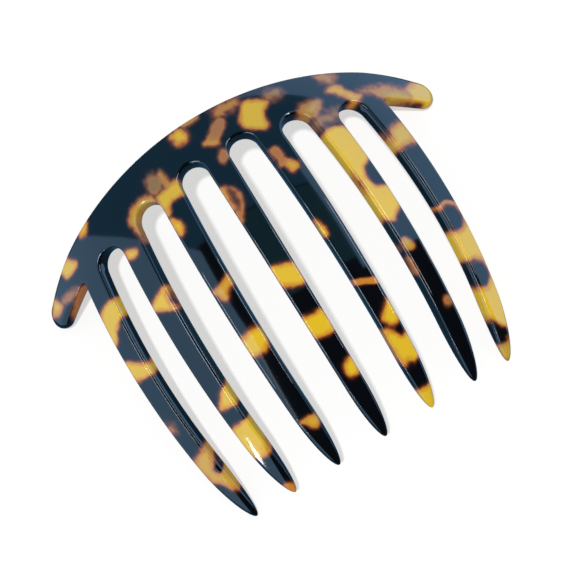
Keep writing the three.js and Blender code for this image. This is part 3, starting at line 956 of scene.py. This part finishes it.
# %% Polish
gloss = add_node("ShaderNodeBsdfPrincipled", (150, 300))
gloss.inputs["Roughness"].default_value = 0.06
gloss.inputs["IOR"].default_value = 1.49
ripple = add_node("ShaderNodeBump", (-80, -200))
ripple.inputs["Strength"].default_value = 0.25
ripple.inputs["Distance"].default_value = 0.00006
links.new(add_noise(0.12, 1, 0.4, (-300, -200)), ripple.inputs["Height"])
links.new(ripple.outputs["Normal"], gloss.inputs["Normal"])
links.new(final_colour, gloss.inputs["Base Color"])
surface = add_node("ShaderNodeOutputMaterial", (450, 300))
links.new(gloss.outputs["BSDF"], surface.inputs["Surface"])
for piece in shells.values():
    piece.data.materials.clear()
    piece.data.materials.append(shell)
print("acetate on", len(shells), "pieces")

# %% [markdown]
# ## The studio
# A glossy dark thing shows its surroundings more than itself. A studio puts cards round it, and each card is
# seen in the part of the comb that faces it. The large ones are tinted, so dark shell turns slate, blue or
# teal where it mirrors them. The small ones are white and bright, for thin lines and glints.

# %% The floor and the sky
FLOOR_SIZE = 30
FLOOR_DROP = 0.0001
FLOOR_GREY = 0.33
FLOOR_GLOW = 0.56 / FLOOR_GREY
SKY_STRENGTH = 0.5


def plain_material(name, colour, glow=0.0):
    material = bpy.data.materials.new(name)
    material.use_nodes = True
    principled = material.node_tree.nodes["Principled BSDF"]
    principled.inputs["Base Color"].default_value = (*colour, 1)
    principled.inputs["Roughness"].default_value = 0.9
    principled.inputs["Specular IOR Level"].default_value = 0
    principled.inputs["Emission Color"].default_value = (*colour, 1)
    principled.inputs["Emission Strength"].default_value = glow
    return material


bpy.ops.object.select_all(action="DESELECT")
bpy.ops.mesh.primitive_plane_add(size=FLOOR_SIZE, location=(0, 0, -FLOOR_DROP))
floor = bpy.context.object
floor.name = "floor"
floor.data.materials.append(plain_material("pale_floor", (FLOOR_GREY,) * 3, FLOOR_GLOW))
floor.visible_glossy = False
world = bpy.data.worlds.new("soft_white_room")
bpy.context.scene.world = world
world.use_nodes = True
world.node_tree.nodes["Background"].inputs["Color"].default_value = (1, 1, 1, 1)
world.node_tree.nodes["Background"].inputs["Strength"].default_value = SKY_STRENGTH
world.cycles_visibility.glossy = False
print("floor and sky made")

# %% The cards
def add_card(name, corners, colour, strength):
    bpy.ops.object.select_all(action="DESELECT")
    bpy.ops.mesh.primitive_plane_add(size=1)
    card = bpy.context.object
    card.name = name
    ordered = [corners[0], corners[1], corners[3], corners[2]]
    write_points(card.data, np.array(ordered, float))
    glow = bpy.data.materials.new(name + "_light")
    glow.use_nodes = True
    glow.node_tree.nodes.clear()
    emission = glow.node_tree.nodes.new("ShaderNodeEmission")
    emission.inputs["Color"].default_value = (*colour, 1)
    emission.inputs["Strength"].default_value = strength
    output = glow.node_tree.nodes.new("ShaderNodeOutputMaterial")
    glow.node_tree.links.new(emission.outputs["Emission"], output.inputs["Surface"])
    card.data.materials.append(glow)
    card.visible_camera = False
    card.visible_diffuse = False
    card.visible_shadow = False
    card.visible_transmission = False


COOL = (0.45, 0.85, 1.32)
SKY = (0.50, 0.98, 1.62)
NAVY = (0.14, 0.55, 1.0)
TEAL = (0.07, 0.32, 0.42)
WHITE = (0.85, 0.95, 1.1)
CARDS = [
    ("left_card", COOL, 1.6,
        [(-0.5, -0.2, -0.13), (-0.5, 0.39, -0.13), (-0.5, 0.39, 1.16), (-0.5, -0.2, 1.14)]),
    ("left_low_card", COOL, 1.6,
        [(-0.5, -0.75, -0.1), (-0.5, -0.2, -0.1), (-0.5, -0.2, 1.14), (-0.5, -0.72, 0.8)]),
    ("right_card", SKY, 1.6,
        [(0.5, 0.42, 0.25), (0.5, -0.06, 0.25), (0.5, -0.165, 0.915), (0.5, 0.42, 0.93)]),
    ("right_far_card", SKY, 1.6,
        [(0.5, 1.9, 0.25), (0.5, 0.42, 0.25), (0.5, 0.42, 0.4), (0.5, 1.9, 1.5)]),
    ("right_low_card", SKY, 1.6,
        [(0.5, 1.9, -0.16), (0.5, -0.3, -0.16), (0.5, -0.3, 0.25), (0.5, 1.9, 0.25)]),
    ("back_card", NAVY, 0.75,
        [(0.17, 0.45, 0.0), (-1.2, 0.45, 0.0), (-1.2, 0.45, 1.24), (0.17, 0.45, 1.24)]),
    ("back_right_card", NAVY, 0.75,
        [(0.75, 0.45, 0.33), (0.17, 0.45, 0.34), (0.17, 0.45, 1.24), (0.75, 0.45, 1.24)]),
    ("high_card", TEAL, 1.0,
        [(-0.1, -0.14, 1.25), (0.95, -0.14, 1.25), (0.95, 0.44, 1.25), (-0.1, 0.44, 1.25)]),
    ("low_card", NAVY, 0.27,
        [(-1.2, -1.2, -0.2), (1.2, -1.2, -0.2), (1.2, 1.2, -0.2), (-1.2, 1.2, -0.2)]),
    ("left_strip", WHITE, 20,
        [(-0.48, -0.3, 0.55), (-0.39, -0.3, 0.55), (-0.39, 0.15, 0.55), (-0.48, 0.15, 0.55)]),
    ("right_strip", WHITE, 20,
        [(0.41, -0.3, 0.55), (0.5, -0.3, 0.55), (0.5, 0.15, 0.55), (0.41, 0.15, 0.55)]),
    ("left_rim", WHITE, 5,
        [(-0.499, -0.72, 0.8), (-0.499, -0.2, 1.14), (-0.499, -0.2, 1.156), (-0.499, -0.72, 0.816)]),
    ("tip_card", WHITE, 45,
        [(-0.3, -0.24, 0.178), (-0.3, -0.19, 0.217), (-0.3, -0.243, 0.192), (-0.3, -0.285, 0.15)]),
]
for name, colour, strength, corners in CARDS:
    add_card(name, corners, colour, strength)
print("cards up")

# %% The key light and the camera
KEY_ENERGY = 3.0
KEY_SPREAD = math.radians(3)
key_from = Vector((-0.09, -0.14, 0.986))
key = bpy.data.lights.new("key", "SUN")
key.energy = KEY_ENERGY
key.angle = KEY_SPREAD
key_light = bpy.data.objects.new("key", key)
key_light.rotation_euler = key_from.to_track_quat("Z", "Y").to_euler()
key_light.visible_glossy = False
bpy.context.scene.collection.objects.link(key_light)

CAMERA_PLACE = (-0.012218, -0.1096, 0.503646)
CAMERA_TURNS = (11.2711, 5.441, -31.1479)
camera_data = bpy.data.cameras.new("camera")
camera_data.sensor_width = 36
camera_data.lens = 122.34
camera = bpy.data.objects.new("camera", camera_data)
camera.location = CAMERA_PLACE
camera.rotation_euler = [math.radians(turn) for turn in CAMERA_TURNS]
bpy.context.scene.collection.objects.link(camera)
bpy.context.scene.camera = camera
bpy.context.scene.view_settings.view_transform = "Standard"
print("camera at", [round(v, 3) for v in camera.location])
